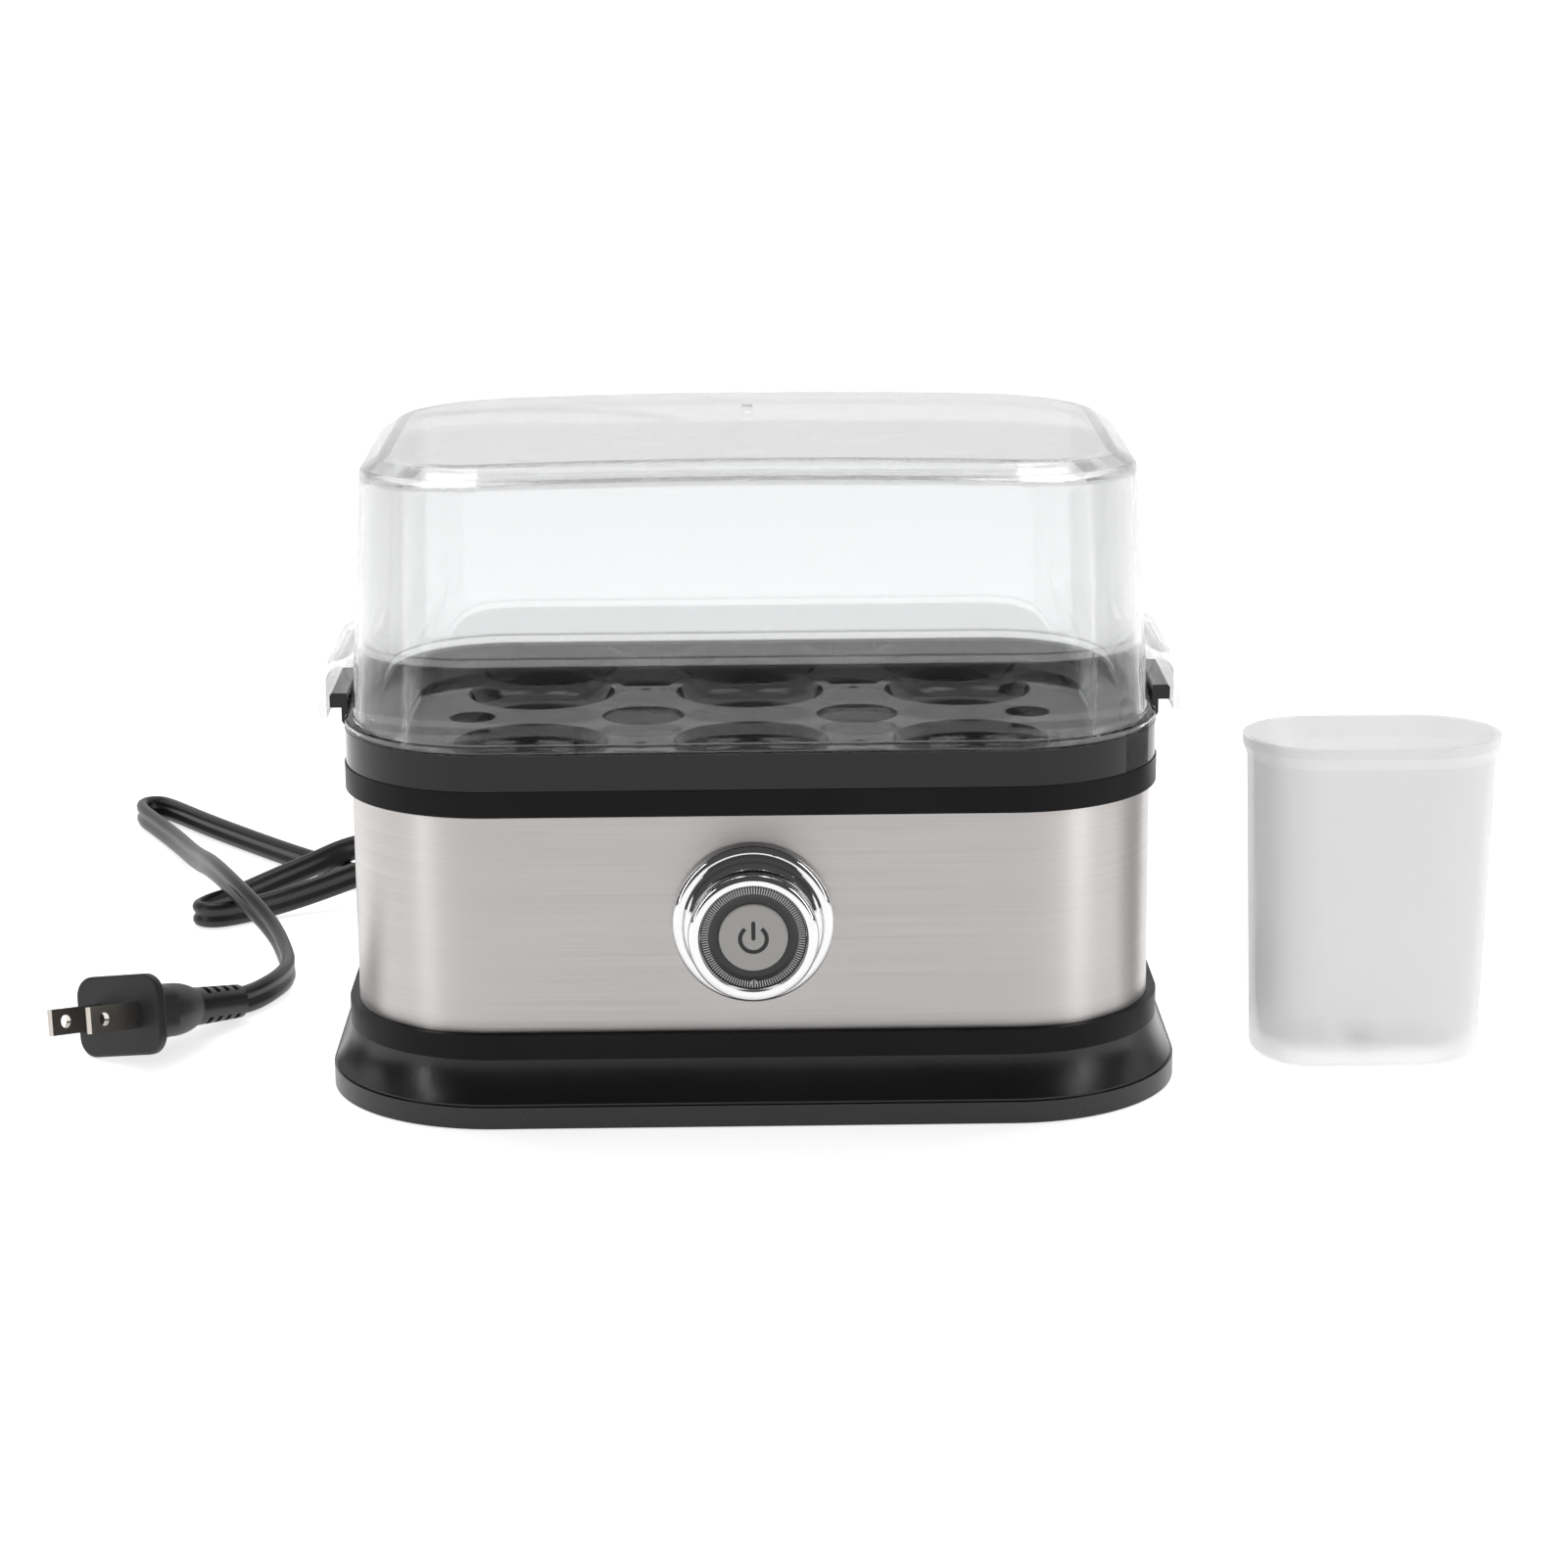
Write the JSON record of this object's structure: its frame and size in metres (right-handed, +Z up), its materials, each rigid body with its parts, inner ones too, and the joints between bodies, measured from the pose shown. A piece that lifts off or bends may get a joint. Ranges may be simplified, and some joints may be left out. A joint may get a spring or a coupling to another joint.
{
  "type": "egg cooker",
  "caption": "Electric egg cooker: rounded steel body with push-button control, heating pan, black egg tray, clear lid with side handles, measuring cup and mains cord with plug.",
  "frame": {"origin": "centre of the underside of the base, on the plane that the cooker stands on", "axes": "+X to the right along the long side, +Y to the back where the cord leaves, +Z up"},
  "size_m": [0.3627, 0.294, 0.1522],
  "materials": {
    "gloss_black_plastic": "glossy",
    "matt_black_plastic": "matt",
    "black_rubber": "matt",
    "silver_label": "satin",
    "brushed_band": "fine horizontal brushing",
    "pan_metal": "satin",
    "heater_steel": "satin",
    "fastener_steel": "zinc plated",
    "aluminium_sheet": "satin",
    "chrome": "polished",
    "dial_metal": "satin",
    "button_plastic": "satin",
    "symbol_paint": "matt",
    "clear_plastic": "clear",
    "light_pipe_plastic": "clear",
    "translucent_plastic": "satin, milky",
    "seal_silicone": "matt",
    "lamp_red": "glossy",
    "terminal_plastic": "glossy",
    "wire_insulation": "satin",
    "nickel": "nickel plated",
    "cord_plastic": "satin",
    "plug_plastic": "fine grained"
  },
  "bodies": {
    "base": {"base_skirt": "gloss_black_plastic", "foot_back_right": "black_rubber", "foot_back_left": "black_rubber", "foot_front_left": "black_rubber", "foot_front_right": "black_rubber", "rating_plate": "silver_label", "base_screws": "fastener_steel", "lower_trim_ring": "matt_black_plastic", "steel_band": "brushed_band", "upper_trim_ring": "matt_black_plastic", "pan_seal": "seal_silicone", "heating_pan": "pan_metal", "heating_element": "heater_steel", "element_clamp": "aluminium_sheet", "heat_shield": "aluminium_sheet", "pan_nuts": "fastener_steel", "thermostat": "aluminium_sheet", "thermal_fuse": "fastener_steel", "knob_bezel": "chrome", "knob_ring": "chrome", "dial_ring": "dial_metal", "dial_seat": "matt_black_plastic", "bezel_nut": "matt_black_plastic", "button_guide": "matt_black_plastic", "light_pipe": "light_pipe_plastic", "indicator_lamp": "lamp_red", "switch_bracket": "aluminium_sheet", "switch_body": "matt_black_plastic", "bracket_screws": "fastener_steel", "terminal_block": "terminal_plastic", "inner_lead": "cord_plastic", "cord_clamp": "matt_black_plastic", "clamp_screws": "fastener_steel", "cord_bushing": "plug_plastic", "heater_wire_left": "wire_insulation", "heater_wire_right": "wire_insulation", "switch_wire_left": "wire_insulation", "switch_wire_right": "wire_insulation", "power_cord": "cord_plastic", "plug_body": "plug_plastic", "plug_relief": "cord_plastic", "plug_blade_left": "nickel", "plug_blade_right": "nickel"},
    "tray": {"egg_tray": "gloss_black_plastic"},
    "lid": {"lid": "clear_plastic"},
    "measuring_cup": {"measuring_cup": "translucent_plastic", "piercing_pin": "fastener_steel"},
    "power_button": {"button_cap": "button_plastic", "power_symbol": "symbol_paint", "switch_plunger": "button_plastic", "return_spring": "fastener_steel"}
  },
  "joints": [
    {"name": "button_press", "type": "slide", "parent": "base", "child": "power_button", "axis": [0, 1, 0], "range_m": [0, 0.002], "stiffness_N_per_m": 800, "deforming": ["return_spring"]},
    {"name": "tray_lift", "type": "slide", "parent": "base", "child": "tray", "axis": [0, 0, 1], "range_m": [0, 0.05]},
    {"name": "lid_lift", "type": "slide", "parent": "tray", "child": "lid", "axis": [0, 0, 1], "range_m": [0, 0.1]},
    {"name": "cup_lift", "type": "slide", "parent": "base", "child": "measuring_cup", "axis": [0, 0, 1], "range_m": [0, 0.1]}
  ]
}
